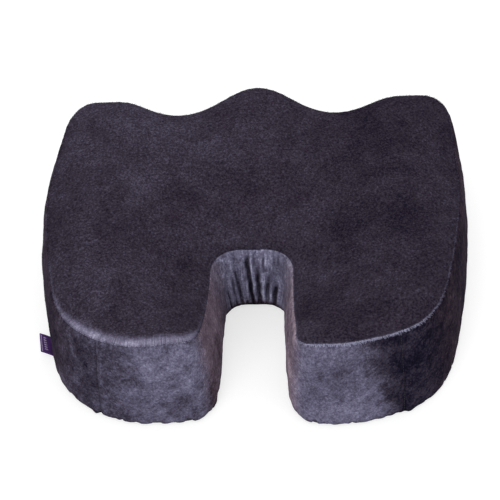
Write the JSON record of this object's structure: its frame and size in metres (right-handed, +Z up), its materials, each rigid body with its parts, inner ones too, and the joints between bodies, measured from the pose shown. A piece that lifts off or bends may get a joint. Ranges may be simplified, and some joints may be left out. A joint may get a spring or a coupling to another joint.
{
  "type": "seat cushion",
  "caption": "Contoured foam seat cushion with a tailbone cut-out at the rear, in a removable zipped velour cover with a grip base.",
  "frame": {"origin": "on the floor, under the middle of the base", "axes": "+Z up, +Y towards the three-lobed thigh side, -Y the way the tailbone cut-out opens, -X the side with the label"},
  "size_m": [0.448, 0.37, 0.1096],
  "materials": {
    "velour": "matte",
    "grip_fabric": "matte",
    "knit": "matte",
    "foam": "matte",
    "thread": "satin",
    "satin": "satin",
    "elastic": "matte",
    "zip_nylon": "satin",
    "zinc": "gloss",
    "label": "satin"
  },
  "bodies": {
    "cushion": {"foam_core": "foam", "liner_top": "knit", "liner_base": "knit", "liner_seam_thread": "satin", "cover_top_panel": "velour", "cover_rear_band": "velour", "cover_front_band": "velour", "top_seam_thread": "thread", "base_seam_thread": "thread", "right_band_seam_thread": "thread", "left_band_seam_thread": "thread", "cutout_elastic": "elastic", "base_rear_panel": "grip_fabric", "base_front_panel": "grip_fabric", "zip_tape_front": "zip_nylon", "zip_tape_rear": "zip_nylon", "zip_coil_front": "zip_nylon", "zip_coil_rear": "zip_nylon", "zip_stitch_front": "thread", "zip_stitch_rear": "thread", "zip_top_stop_front": "zip_nylon", "zip_top_stop_rear": "zip_nylon", "zip_bottom_stop": "zip_nylon", "zip_end_tack_left": "thread", "zip_end_tack_right": "thread", "care_label": "satin"},
    "slider": {"zip_slider": "zinc"},
    "pull": {"zip_pull": "zinc"},
    "label": {"label": "label"}
  },
  "joints": [
    {"name": "zip_slide", "type": "slide", "parent": "cushion", "child": "slider", "axis": [1, 0, 0], "range_m": [0, 0.298]},
    {"name": "pull_hinge", "type": "hinge", "parent": "slider", "child": "pull", "pos_m": [-0.149, 0.116, 0.0027], "axis": [0, 1, 0], "range_deg": [0, 180]},
    {"name": "label_flex", "type": "hinge", "parent": "cushion", "child": "label", "pos_m": [-0.20522, -0.08747, 0.003], "axis": [-0.2625, 0.9649, 0], "range_deg": [-40, 48], "stiffness_Nm_per_rad": 0.001}
  ]
}
